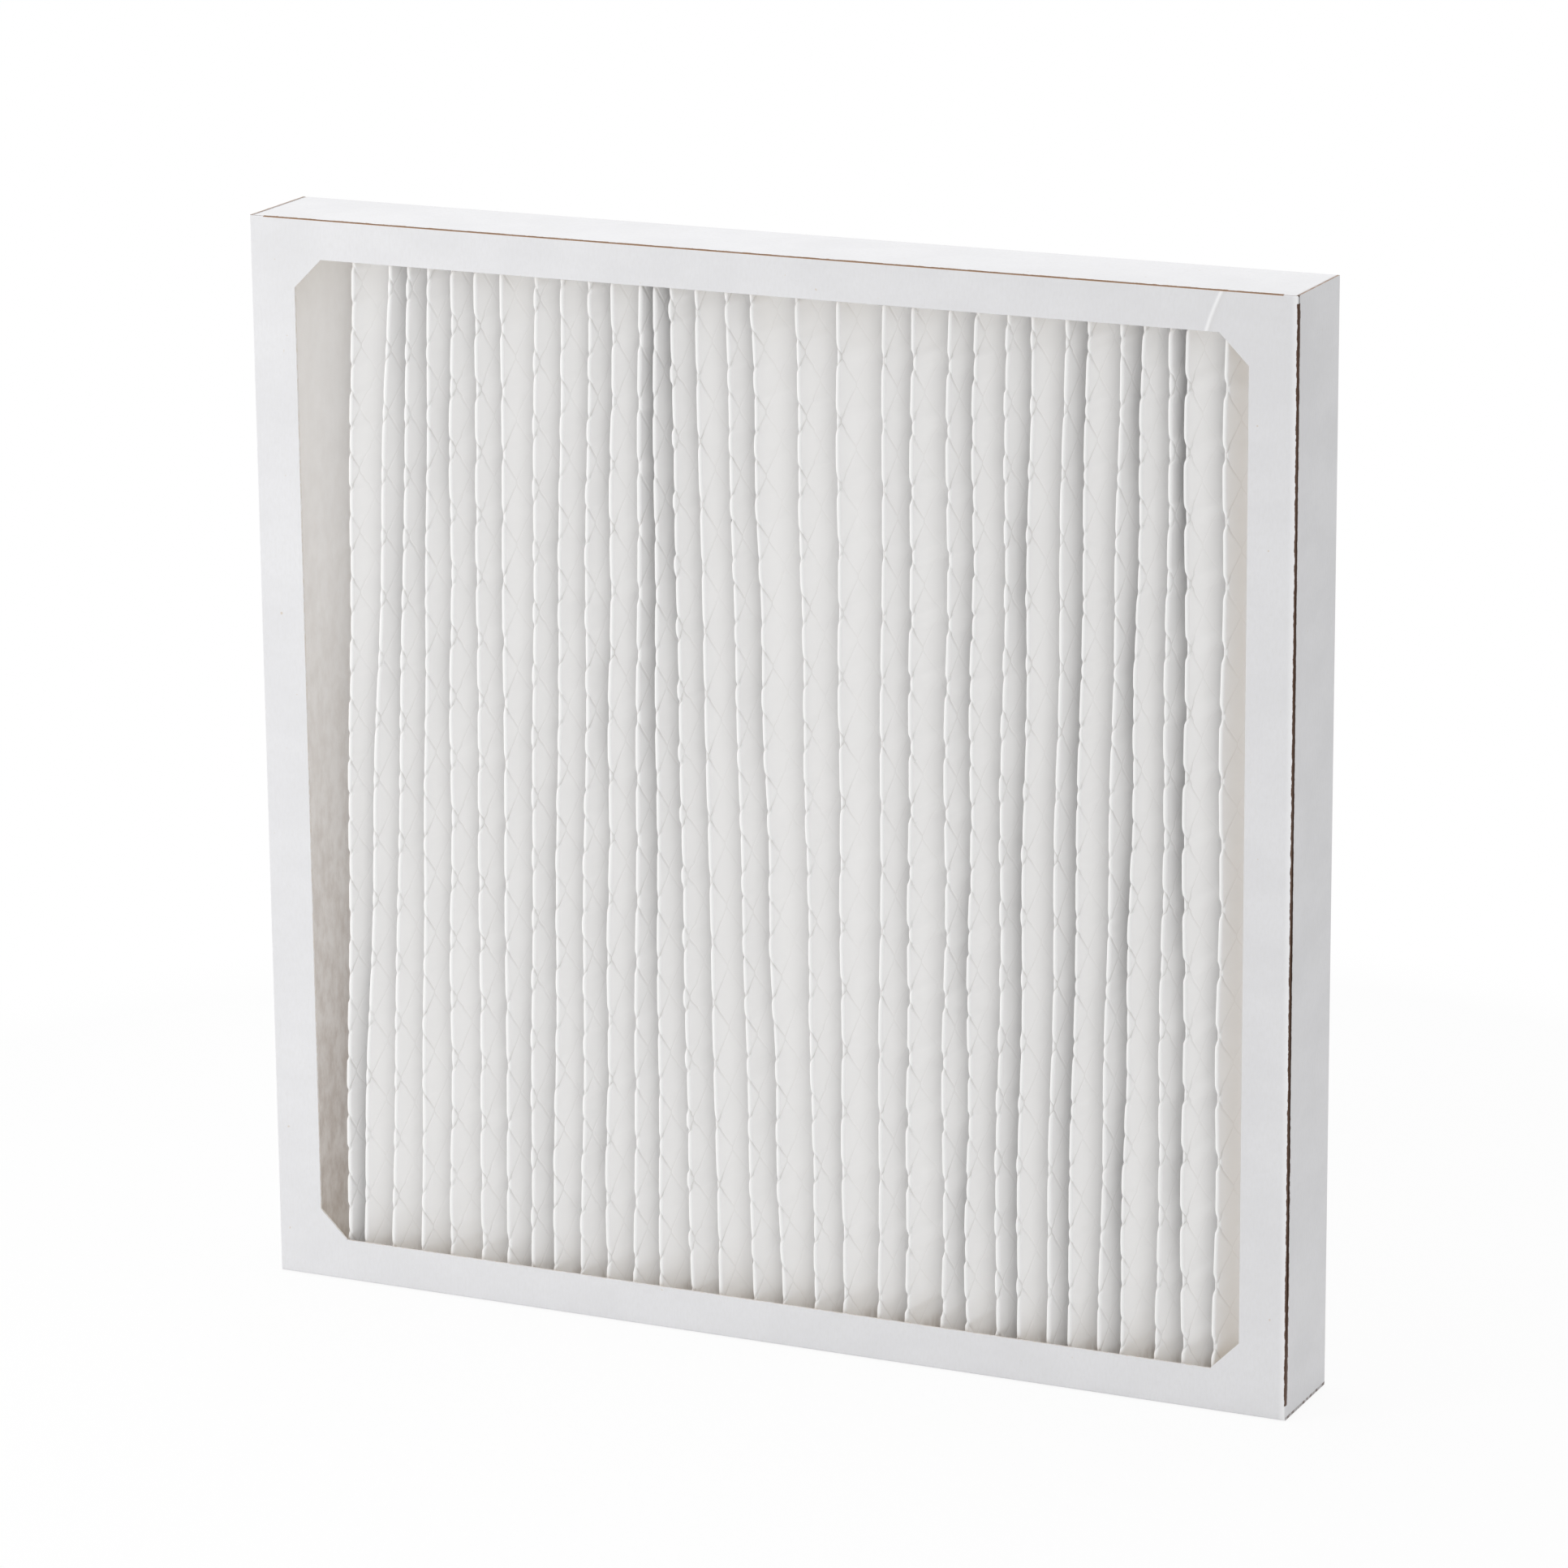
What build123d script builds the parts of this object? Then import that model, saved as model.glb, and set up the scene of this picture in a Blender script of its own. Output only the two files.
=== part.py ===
from build123d import *
from math import asin, atan2, cos, pi, sin
import os

# Pleated panel air filter: a folded media pack held between two nested die-cut paperboard trays.
# Millimetres. The filter stands on its bottom edge: +Z is up, -Y is the air-entering side, and the
# origin is the middle of the bottom.

# overall size, nominal 18 x 18 x 2 inches
panel_width = 444.5
panel_height = 444.5
panel_depth = 44.45

# paperboard
board = 1.0
crease_radius = 0.5
window_cut_corner = 12.0
side_border = 19.4
top_border = 16.0
bottom_border = 17.2

# how the trays are folded and nested
wall_seam = 0.2
tab_length = 32.0
tab_taper = 7.0
nest_gap = 0.3
corner_cut = 2.4

# score lines cut into two of the front creases
top_score_width = 0.4
top_score_depth = 0.4
score_end_land = 6.0
side_score_depth = 0.7
side_score_width_at_top = 0.7
side_score_width_at_widest = 1.7
side_score_widest_height = 62.0

# media pack
media_thickness = 0.7
grid_thickness = 0.3
laminate_gap = 0.1
inner_fold_radius = 0.2
fold_creases = 4
fold_to_board_gap = 1.3
free_pleats = 32
end_bay = 24.9
end_flap_length = 34.0
adhesive_thickness = 0.8

# How the pleats have crept from even spacing: share of the row counted from the left, then how far the
# tips stand to the right of their even places at the bottom and at the top.
tip_creep = (
    (0.00, 0.0, 14.5),
    (0.03, -5.5, 19.0),
    (0.10, -2.5, 11.0),
    (0.18, 2.0, 6.0),
    (0.24, -3.0, 9.5),
    (0.36, -4.5, 4.5),
    (0.42, -3.5, -7.5),
    (0.52, 1.5, -9.0),
    (0.61, 4.5, 9.0),
    (0.69, 8.0, 12.0),
    (0.81, 2.0, 9.5),
    (0.90, -1.5, 7.0),
    (0.97, 0.5, -1.0),
    (1.00, -1.0, 0.5),
)
# on the right the pleats also stand in pairs, each tip moved this far towards its partner
pairing = 1.2

# how close two places count as the same when edges are picked
tolerance = 0.01

# derived sizes
window_width = panel_width - 2 * side_border
window_height = panel_height - top_border - bottom_border
tab_outer_width = panel_width - 2 * (board + wall_seam)
inner_tray_width = tab_outer_width - 2 * (board + nest_gap)
inner_tray_height = panel_height - 2 * (board + nest_gap)
inner_wall_depth = panel_depth - board - nest_gap
cavity_width = inner_tray_width - 2 * board
cavity_height = inner_tray_height - 2 * board
pack_width = cavity_width - 2 * adhesive_thickness
pack_height = cavity_height - 2 * adhesive_thickness
pack_thickness = media_thickness + laminate_gap + grid_thickness
outer_fold_radius = inner_fold_radius + pack_thickness
front_fold_y = -panel_depth / 2 + board + fold_to_board_gap + outer_fold_radius
rear_fold_y = panel_depth / 2 - board - fold_to_board_gap - outer_fold_radius

front_plane = Plane((0, -panel_depth / 2, panel_height / 2), x_dir=(1, 0, 0), z_dir=(0, -1, 0))
rear_plane = front_plane.offset(-panel_depth)
behind_face_plane = front_plane.offset(-board)
score_y = crease_radius - panel_depth / 2
adhesive_depth = rear_fold_y - front_fold_y

os.makedirs("parts", exist_ok=True)


# window cut in the face of both trays
with BuildSketch() as window:
    with Locations((0, (bottom_border - top_border) / 2)):
        Rectangle(window_width, window_height)
    chamfer(window.vertices(), window_cut_corner)


# outer tray: its face is the front of the filter and its walls are the four sides
with BuildPart() as front_frame:
    with BuildSketch(front_plane):
        Rectangle(panel_width, panel_height)
        add(window.sketch, mode=Mode.SUBTRACT)
    extrude(amount=-board)
    # left and right walls, whose cut ends show at the corners
    with BuildSketch(front_plane):
        with GridLocations(panel_width - board, 0, 2, 1):
            Rectangle(board, panel_height)
    extrude(amount=-panel_depth)
    # top and bottom walls, each bent at both ends into a glue tab inside the side walls
    for end in (-1, 1):
        with BuildSketch(behind_face_plane):
            with Locations((0, end * (panel_height - tab_length) / 2)):
                Rectangle(tab_outer_width, tab_length)
            with Locations((0, end * (panel_height - tab_length - 2 * board) / 2)):
                Rectangle(tab_outer_width - 2 * board, tab_length, mode=Mode.SUBTRACT)
        extrude(amount=board - panel_depth)
    bends = front_frame.edges().filter_by(Axis.Y).filter_by(
        lambda edge: abs(abs(edge.center().X) - tab_outer_width / 2) < tolerance
    )
    fillet(bends.group_by(Axis.Z)[0] + bends.group_by(Axis.Z)[-1], crease_radius)
    # free corners of the glue tabs
    tab_corners = front_frame.edges().filter_by(Axis.X).filter_by(
        lambda edge: abs(abs(edge.center().X) - (tab_outer_width - board) / 2) < tolerance
    )
    tab_corners = tab_corners.sort_by(lambda edge: abs(edge.center().Z - panel_height / 2))[0:8]
    chamfer(tab_corners, tab_taper)
    # creases round the face
    creases = front_frame.edges().group_by(Axis.Y)[0]
    level_creases = creases.filter_by(Axis.X).sort_by(Axis.Z)
    upright_creases = creases.filter_by(Axis.Z).sort_by(Axis.X)
    fillet(level_creases[0:1] + level_creases[-1:] + upright_creases[0:1] + upright_creases[-1:], crease_radius)
    # score line along the top crease, and the wider one that has opened along the right crease
    with BuildSketch(Plane.XY.offset(panel_height)):
        with Locations((0, (top_score_width - panel_depth) / 2 + crease_radius)):
            Rectangle(panel_width - 2 * score_end_land, top_score_width)
    extrude(amount=-top_score_depth, mode=Mode.SUBTRACT)
    with BuildSketch(Plane.YZ.offset(panel_width / 2)):
        with BuildLine():
            Polyline(
                (score_y, panel_height),
                (score_y + side_score_width_at_top, panel_height),
                (score_y + side_score_width_at_widest, side_score_widest_height),
                (score_y, score_end_land),
                close=True,
            )
        make_face()
    extrude(amount=-side_score_depth, mode=Mode.SUBTRACT)
front_frame.part.label = "front_frame"
export_step(front_frame.part, "parts/front_frame.step")


# inner tray: its face is the rear of the filter and it stands open side forward inside the outer tray
with BuildPart() as rear_frame:
    with BuildSketch(rear_plane):
        Rectangle(inner_tray_width, inner_tray_height)
        add(window.sketch, mode=Mode.SUBTRACT)
    extrude(amount=board)
    with BuildSketch(rear_plane):
        Rectangle(inner_tray_width, inner_tray_height)
        Rectangle(cavity_width, cavity_height, mode=Mode.SUBTRACT)
    extrude(amount=inner_wall_depth)
    rear_creases = rear_frame.edges().group_by(Axis.Y)[-1]
    level_creases = rear_creases.filter_by(Axis.X).sort_by(Axis.Z)
    upright_creases = rear_creases.filter_by(Axis.Z).sort_by(Axis.X)
    fillet(level_creases[0:1] + level_creases[-1:] + upright_creases[0:1] + upright_creases[-1:], crease_radius)
    # walls are cut apart at the corners
    with BuildSketch(rear_plane.offset(board)):
        with GridLocations(inner_tray_width, inner_tray_height, 2, 2):
            Rectangle(corner_cut, corner_cut)
    extrude(amount=inner_wall_depth, mode=Mode.SUBTRACT)
rear_frame.part.label = "rear_frame"
export_step(rear_frame.part, "parts/rear_frame.step")


# bead of adhesive round the inside of the inner tray, which holds the pleat ends and the end flaps
with BuildPart() as edge_adhesive:
    with BuildSketch(front_plane.offset((adhesive_depth - panel_depth) / 2)):
        Rectangle(cavity_width, cavity_height)
        Rectangle(pack_width, pack_height, mode=Mode.SUBTRACT)
    extrude(amount=-adhesive_depth)
edge_adhesive.part.label = "edge_adhesive"
export_step(edge_adhesive.part, "parts/edge_adhesive.step")


def creep(share, at_top):
    """Shift of a pleat tip from its even place, read between the two nearest points of tip_creep."""
    for left, right in zip(tip_creep, tip_creep[1:]):
        if share <= right[0]:
            along = (share - left[0]) / (right[0] - left[0])
            return left[1 + at_top] * (1 - along) + right[1 + at_top] * along
    return tip_creep[-1][1 + at_top]


def front_fold_centres(at_top):
    """Centres of the front folds from left to right; the first and the last stand at the side walls."""
    wall_fold_x = pack_width / 2 - outer_fold_radius
    row_half = wall_fold_x - end_bay
    centres = [Vector(-wall_fold_x, front_fold_y)]
    for pleat in range(free_pleats):
        share = pleat / (free_pleats - 1)
        pair_shift = -pairing * share * (-1) ** pleat
        x = row_half * (2 * share - 1) + creep(share, at_top) + pair_shift
        centres.append(Vector(x, front_fold_y))
    centres.append(Vector(wall_fold_x, front_fold_y))
    return centres


def flank_angle(front, rear):
    """Direction of the flank that crosses over from the side of a front fold to the side of a rear fold."""
    side = 1 if rear.X > front.X else -1
    span = rear - front
    return atan2(span.Y, span.X) + side * asin((inner_fold_radius + outer_fold_radius) / span.length)


def fold_corners(centre, radius, first_normal, last_normal):
    """Corners of a fold, creased into equal facets that touch the fold's circle."""
    step = (last_normal - first_normal) / fold_creases
    corner_radius = radius / cos(step / 2)
    normals = [first_normal + step * (crease + 0.5) for crease in range(fold_creases)]
    return [centre + Vector(cos(normal), sin(normal)) * corner_radius for normal in normals]


def pack_surface(depth_in_pack, at_top):
    """Points along one surface of the folded pack, that far in from its front, from left to right."""
    front_radius = outer_fold_radius - depth_in_pack
    rear_radius = inner_fold_radius + depth_in_pack
    fronts = front_fold_centres(at_top)
    rears = [Vector((left.X + right.X) / 2, rear_fold_y) for left, right in zip(fronts, fronts[1:])]
    points = [Vector(fronts[0].X - front_radius, front_fold_y + end_flap_length)]
    facing_left, facing_right = pi, 2 * pi
    normal = facing_left
    for front, rear, next_front in zip(fronts, rears, fronts[1:]):
        leaving = flank_angle(front, rear) + 3 * pi / 2
        arriving = flank_angle(next_front, rear) + pi / 2
        points += fold_corners(front, front_radius, normal, leaving)
        points += fold_corners(rear, rear_radius, leaving - pi, arriving - pi)
        normal = arriving
    points += fold_corners(fronts[-1], front_radius, normal, facing_right)
    points.append(Vector(fronts[-1].X + front_radius, front_fold_y + end_flap_length))
    return points


def pack_layer(front_depth, rear_depth, at_top):
    """Closed outline of a folded layer between two depths in the pack."""
    return pack_surface(front_depth, at_top) + pack_surface(rear_depth, at_top)[::-1]


pack_bottom = Plane.XY.offset((panel_height - pack_height) / 2)
pack_top = Plane.XY.offset((panel_height + pack_height) / 2)


# one sheet of nonwoven media, folded into upright pleats, with an end flap along each side wall
with BuildPart() as pleated_media:
    for at_top, level in enumerate((pack_bottom, pack_top)):
        with BuildSketch(level):
            with BuildLine():
                Polyline(*pack_layer(0, media_thickness, at_top), close=True)
            make_face()
    loft(ruled=True)
pleated_media.part.label = "pleated_media"
export_step(pleated_media.part, "parts/pleated_media.step")


# light expanded-metal grid laminated behind the media and folded with it, as one layer
with BuildPart() as support_grid:
    for at_top, level in enumerate((pack_bottom, pack_top)):
        with BuildSketch(level):
            with BuildLine():
                Polyline(*pack_layer(media_thickness + laminate_gap, pack_thickness, at_top), close=True)
            make_face()
    loft(ruled=True)
support_grid.part.label = "support_grid"
export_step(support_grid.part, "parts/support_grid.step")
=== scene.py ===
import math

import bpy
import numpy as np
from mathutils import Matrix, Vector


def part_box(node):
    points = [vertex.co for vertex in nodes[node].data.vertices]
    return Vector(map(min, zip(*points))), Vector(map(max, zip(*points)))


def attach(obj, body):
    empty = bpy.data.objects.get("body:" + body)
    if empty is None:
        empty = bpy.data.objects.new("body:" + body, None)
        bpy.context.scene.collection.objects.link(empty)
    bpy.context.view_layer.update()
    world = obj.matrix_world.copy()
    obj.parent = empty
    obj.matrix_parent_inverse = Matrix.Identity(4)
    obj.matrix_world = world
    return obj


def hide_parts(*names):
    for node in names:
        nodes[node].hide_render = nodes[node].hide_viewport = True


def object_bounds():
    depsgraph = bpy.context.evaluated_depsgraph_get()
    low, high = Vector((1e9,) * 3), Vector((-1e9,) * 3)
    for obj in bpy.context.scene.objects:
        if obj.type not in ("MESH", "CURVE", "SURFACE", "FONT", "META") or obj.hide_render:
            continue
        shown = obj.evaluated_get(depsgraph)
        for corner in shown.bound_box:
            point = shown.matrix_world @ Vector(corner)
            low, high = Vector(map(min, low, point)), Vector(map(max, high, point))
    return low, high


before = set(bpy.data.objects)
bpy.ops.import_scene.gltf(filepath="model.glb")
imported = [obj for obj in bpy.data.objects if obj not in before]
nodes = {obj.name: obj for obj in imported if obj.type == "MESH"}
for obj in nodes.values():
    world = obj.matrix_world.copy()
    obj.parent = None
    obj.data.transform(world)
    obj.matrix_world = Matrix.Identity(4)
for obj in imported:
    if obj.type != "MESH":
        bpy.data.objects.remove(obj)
cad_low, cad_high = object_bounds()

# Pleated panel air filter: a folded nonwoven pack on an expanded-metal grid, between two nested trays of
# white paperboard. Metres. The filter stands on its bottom edge, its air-entering face looks along -Y.

MM = 0.001


# ---------------------------------------------------------------- sizes, as in the part's own source

BOARD = 1.0 * MM
MEDIA_THICKNESS = 0.7 * MM
LAMINATE_GAP = 0.1 * MM
GRID_THICKNESS = 0.3 * MM
INNER_FOLD_RADIUS = 0.2 * MM
FOLD_TO_BOARD_GAP = 1.3 * MM
FREE_PLEATS = 32
END_BAY = 24.9 * MM
END_FLAP = 34.0 * MM
PAIRING = 1.2 * MM

PACK_THICKNESS = MEDIA_THICKNESS + LAMINATE_GAP + GRID_THICKNESS
OUTER_FOLD_RADIUS = INNER_FOLD_RADIUS + PACK_THICKNESS

# the folds shown are crisper than the part's solid ones: a thin nonwoven that the grid pulls tight
SKIN = 0.55 * MM
STRAND_GAP = 0.03 * MM
STRAND_THICKNESS = 0.25 * MM
STRAND_WIDTH = 0.8 * MM
SHARP_INNER_RADIUS = 0.15 * MM
SHARP_OUTER_RADIUS = SHARP_INNER_RADIUS + SKIN + 2 * STRAND_GAP + STRAND_THICKNESS

# share of the row from the left, then the shift of the pleat tips at the bottom and at the top, in mm
TIP_CREEP = (
    (0.00, 0.0, 14.5),
    (0.03, -5.5, 19.0),
    (0.10, -2.5, 11.0),
    (0.18, 2.0, 6.0),
    (0.24, -3.0, 9.5),
    (0.36, -4.5, 4.5),
    (0.42, -3.5, -7.5),
    (0.52, 1.5, -9.0),
    (0.61, 4.5, 9.0),
    (0.69, 8.0, 12.0),
    (0.81, 2.0, 9.5),
    (0.90, -1.5, 7.0),
    (0.97, 0.5, -1.0),
    (1.00, -1.0, 0.5),
)

pack_low, pack_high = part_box("pleated_media")
PACK_HALF_WIDTH = pack_high[0]
PACK_BOTTOM, PACK_TOP = pack_low[2], pack_high[2]
PACK_HEIGHT = PACK_TOP - PACK_BOTTOM
FRONT_FOLD_Y = cad_low[1] + BOARD + FOLD_TO_BOARD_GAP + SHARP_OUTER_RADIUS
REAR_FOLD_Y = cad_high[1] - BOARD - FOLD_TO_BOARD_GAP - SHARP_OUTER_RADIUS

# the grid's diamonds, along the sheet and up it
DIAMOND_RUN = 20.0 * MM
DIAMOND_RISE = 25.4 * MM
# a swing above 1 is cut off at 1, so bonded strands run side by side for a while
STRAND_SWING = 1.12


# ---------------------------------------------------------------- the folded sheet, as a function

# After each front fold come four stretches: the fold, the flank going in, the rear fold, the flank coming out.
FOLD, GOING_IN, REAR, COMING_OUT, LEFT_FLAP, RIGHT_FLAP = range(6)
FOLD_LENGTH = 3.0 * MM
FLANK_LENGTH = REAR_FOLD_Y - FRONT_FOLD_Y
STRETCH_STARTS = np.cumsum([0.0, FOLD_LENGTH, FLANK_LENGTH, FOLD_LENGTH, 0.0, 0.0])
STRETCH_LENGTHS = np.array([FOLD_LENGTH, FLANK_LENGTH, FOLD_LENGTH, FLANK_LENGTH, END_FLAP, END_FLAP])
PLEAT_RUN = 2 * (FOLD_LENGTH + FLANK_LENGTH)
TIPS = FREE_PLEATS + 2


def creep(share):
    """Shift of a pleat tip from its even place, at the bottom and at the top of the sheet."""
    stations = np.array(TIP_CREEP)
    low = np.interp(share, stations[:, 0], stations[:, 1]) * MM
    high = np.interp(share, stations[:, 0], stations[:, 2]) * MM
    return low, high


def tip_ends():
    """x of every front fold's centre at the bottom and at the top of the sheet."""
    row_half = PACK_HALF_WIDTH - OUTER_FOLD_RADIUS - END_BAY
    wall_x = PACK_HALF_WIDTH - SHARP_OUTER_RADIUS
    pleat = np.arange(FREE_PLEATS)
    share = pleat / (FREE_PLEATS - 1)
    low, high = creep(share)
    even = row_half * (2 * share - 1) - PAIRING * share * (-1.0) ** pleat
    bottom = np.concatenate([[-wall_x], even + low, [wall_x]])
    top = np.concatenate([[-wall_x], even + high, [wall_x]])
    return bottom, top


TIP_BOTTOM, TIP_TOP = tip_ends()

# Small irregularities of each fold line, one value for each: none at the two that stand against the walls.
rng = np.random.default_rng(18)
free = np.r_[0.0, np.ones(FREE_PLEATS), 0.0]
# the folding machine slips a little at each fold, so each crosses the grid somewhere else in its diamonds
TIP_RUN = np.arange(TIPS) * PLEAT_RUN + FOLD_LENGTH / 2 + np.cumsum(rng.normal(0, 2.4 * MM, TIPS))
WOBBLE = free * rng.uniform(0.15, 0.6, TIPS) * MM
WOBBLE_PITCH = rng.uniform(90, 150, TIPS) * MM
WOBBLE_START = rng.uniform(0, 2 * math.pi, TIPS)
SCALLOP = free * rng.uniform(0.06, 0.32, TIPS) * MM
KNUCKLE = free * rng.uniform(0.22, 0.65, TIPS) * MM


def strand_swing(height):
    """Sideways swing of the grid's strands, -1 to 1: flat where two neighbours are bonded together."""
    turn = height / DIAMOND_RISE
    return np.clip(STRAND_SWING * (4 * np.abs(turn - np.round(turn)) - 1), -1, 1)


def strand_waves(run, height):
    """Two waves along the unfolded sheet that are zero on the even and on the odd strands."""
    half_cells = 2 * run / DIAMOND_RUN
    swing = strand_swing(height) / 2
    even = np.sin(math.pi / 2 * (half_cells - swing))
    odd = np.sin(math.pi / 2 * (half_cells - 1 + swing))
    return even, odd


def sway(tip, height):
    """Sideways wander of a front fold: a slow wobble, a jog at each diamond and a nick at each strand."""
    slow = WOBBLE[tip] * np.sin(2 * math.pi * height / WOBBLE_PITCH[tip] + WOBBLE_START[tip])
    even, odd = strand_waves(TIP_RUN[tip], height)
    across = even * odd
    jog = SCALLOP[tip] * np.clip(4 * across, -1, 1)
    nick = KNUCKLE[tip] * np.exp(-((across / 0.12) ** 2))
    return slow - jog + nick


def tip_centre(tip, height):
    up = np.clip((height - PACK_BOTTOM) / PACK_HEIGHT, 0, 1)
    return TIP_BOTTOM[tip] * (1 - up) + TIP_TOP[tip] * up + sway(tip, height)


def flank_angle(front_x, rear_x, side):
    run, depth = rear_x - front_x, REAR_FOLD_Y - FRONT_FOLD_Y
    reach = np.hypot(run, depth)
    return np.arctan2(depth, run) + side * np.arcsin((SHARP_INNER_RADIUS + SHARP_OUTER_RADIUS) / reach)


def on_circle(x, y, radius, angle):
    return x + radius * np.cos(angle), y + radius * np.sin(angle)


def between(start, end, share):
    return start[0] + (end[0] - start[0]) * share, start[1] + (end[1] - start[1]) * share


def sheet_point(tip, stretch, along, height, depth):
    """Place and outward direction of points of the folded pack, as arrays.

    tip counts the front folds, stretch is one of the stretches after it, along runs from 0 to 1 on the stretch,
    and depth is how far into the pack the surface lies, from the front of the media.
    """
    last = TIPS - 1
    front_x = tip_centre(tip, height)
    next_x = tip_centre(np.minimum(tip + 1, last), height)
    before_x = tip_centre(np.maximum(tip - 1, 0), height)
    rear_x = (front_x + next_x) / 2
    front_radius = SHARP_OUTER_RADIUS - depth
    rear_radius = SHARP_INNER_RADIUS + depth

    leaving = np.where(tip == last, 2 * math.pi, flank_angle(front_x, rear_x, 1) + 1.5 * math.pi)
    arriving = flank_angle(next_x, rear_x, -1) + 0.5 * math.pi
    arrived = flank_angle(front_x, (before_x + front_x) / 2, -1) + 0.5 * math.pi
    arrived = np.where(tip == 0, math.pi, arrived)

    fold_angle = arrived + (leaving - arrived) * along
    rear_angle = leaving - math.pi + (arriving - leaving) * along
    goes_in = on_circle(front_x, FRONT_FOLD_Y, front_radius, leaving)
    arrives = on_circle(rear_x, REAR_FOLD_Y, rear_radius, leaving - math.pi)
    turns_back = on_circle(rear_x, REAR_FOLD_Y, rear_radius, arriving - math.pi)
    comes_out = on_circle(next_x, FRONT_FOLD_Y, front_radius, arriving)
    flap_end = FRONT_FOLD_Y + END_FLAP
    left_x, right_x = front_x - front_radius, front_x + front_radius
    courses = [
        on_circle(front_x, FRONT_FOLD_Y, front_radius, fold_angle),
        between(goes_in, arrives, along),
        on_circle(rear_x, REAR_FOLD_Y, rear_radius, rear_angle),
        between(turns_back, comes_out, along),
        between((left_x, flap_end), (left_x, FRONT_FOLD_Y), along),
        between((right_x, FRONT_FOLD_Y), (right_x, flap_end), along),
    ]
    picks = [stretch == number for number in range(len(courses))]
    picks = [np.broadcast_to(pick, front_x.shape) for pick in picks]
    x = np.select(picks, [course[0] for course in courses])
    y = np.select(picks, [course[1] for course in courses])
    facing = [fold_angle, leaving, rear_angle + math.pi, arriving, math.pi, 2 * math.pi]
    normal = np.select(picks, [np.broadcast_to(angle, front_x.shape) for angle in facing])
    return x, y, np.cos(normal), np.sin(normal)


def run_along(tip, stretch, along):
    """Distance along the unfolded sheet, counted from the first fold."""
    following = np.minimum(tip + 1, TIPS - 1)
    room = np.where(tip < TIPS - 1, TIP_RUN[following] - TIP_RUN[tip], PLEAT_RUN)
    ahead = (STRETCH_STARTS[stretch] + STRETCH_LENGTHS[stretch] * along) * room / PLEAT_RUN
    return np.where(stretch == LEFT_FLAP, -END_FLAP * (1 - along), TIP_RUN[tip] - FOLD_LENGTH / 2 + ahead)


def build_mesh(name, points, faces, sheet=None, show=None, smooth=True):
    """A new object. sheet is each point's place on the unfolded sheet, show how far the grid shows there."""
    mesh = bpy.data.meshes.new(name)
    mesh.from_pydata(points, [], faces)
    if sheet is not None:
        corners = np.empty(len(mesh.loops), dtype=np.int32)
        mesh.loops.foreach_get("vertex_index", corners)
        layer = mesh.uv_layers.new(name="sheet")
        layer.data.foreach_set("uv", np.asarray(sheet, dtype=np.float32)[corners].ravel())
    if show is not None:
        attribute = mesh.attributes.new("show", "FLOAT", "POINT")
        attribute.data.foreach_set("value", np.asarray(show, dtype=np.float32))
    mesh.polygons.foreach_set("use_smooth", [smooth] * len(mesh.polygons))
    mesh.update()
    piece = bpy.data.objects.new(name, mesh)
    bpy.context.scene.collection.objects.link(piece)
    return piece


# ---------------------------------------------------------------- materials

class Nodes:
    """Small helper that adds and links the nodes of one material."""

    def __init__(self, name):
        self.material = bpy.data.materials.new(name)
        self.material.use_nodes = True
        self.tree = self.material.node_tree
        self.shader = self.tree.nodes["Principled BSDF"]
        self.output = self.tree.nodes["Material Output"]

    def add(self, kind, **settings):
        node = self.tree.nodes.new(kind)
        for key, value in settings.items():
            setattr(node, key, value)
        return node

    def put(self, socket, value):
        if isinstance(value, bpy.types.NodeSocket):
            self.tree.links.new(value, socket)
        else:
            socket.default_value = value

    def math(self, operation, first, second=0.0, third=0.0, clamp=False):
        node = self.add("ShaderNodeMath", operation=operation, use_clamp=clamp)
        for socket, value in zip(node.inputs, (first, second, third)):
            self.put(socket, value)
        return node.outputs[0]

    def mix(self, share, first, second, blend="MIX"):
        node = self.add("ShaderNodeMix", data_type="RGBA", blend_type=blend)
        self.put(node.inputs["Factor"], share)
        self.put(node.inputs[6], first)
        self.put(node.inputs[7], second)
        return node.outputs[2]

    def ramp(self, value, low, high, start=0.0, end=1.0):
        node = self.add("ShaderNodeMapRange", interpolation_type="SMOOTHSTEP")
        for socket, number in zip(node.inputs, (value, low, high, start, end)):
            self.put(socket, number)
        return node.outputs[0]

    def noise(self, place, scale, detail=2.0, roughness=0.5):
        node = self.add("ShaderNodeTexNoise")
        self.put(node.inputs["Vector"], place)
        self.put(node.inputs["Scale"], scale)
        self.put(node.inputs["Detail"], detail)
        self.put(node.inputs["Roughness"], roughness)
        return node.outputs["Fac"]

    def place(self):
        return self.add("ShaderNodeTexCoord").outputs["Object"]

    def split(self, vector):
        node = self.add("ShaderNodeSeparateXYZ")
        self.put(node.inputs[0], vector)
        return node.outputs

    def stretch(self, vector, scale):
        node = self.add("ShaderNodeMapping")
        self.put(node.inputs["Vector"], vector)
        self.put(node.inputs["Scale"], scale)
        return node.outputs[0]

    def bump(self, height, distance, strength=1.0, normal=None):
        node = self.add("ShaderNodeBump")
        self.put(node.inputs["Height"], height)
        self.put(node.inputs["Distance"], distance)
        self.put(node.inputs["Strength"], strength)
        if normal is not None:
            self.put(node.inputs["Normal"], normal)
        return node.outputs[0]


def rgb(red, green, blue):
    """sRGB values of 0 to 255 as a linear colour."""
    linear = [((v / 255 + 0.055) / 1.055) ** 2.4 if v > 10 else v / 255 / 12.92 for v in (red, green, blue)]
    return (*linear, 1.0)


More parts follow.
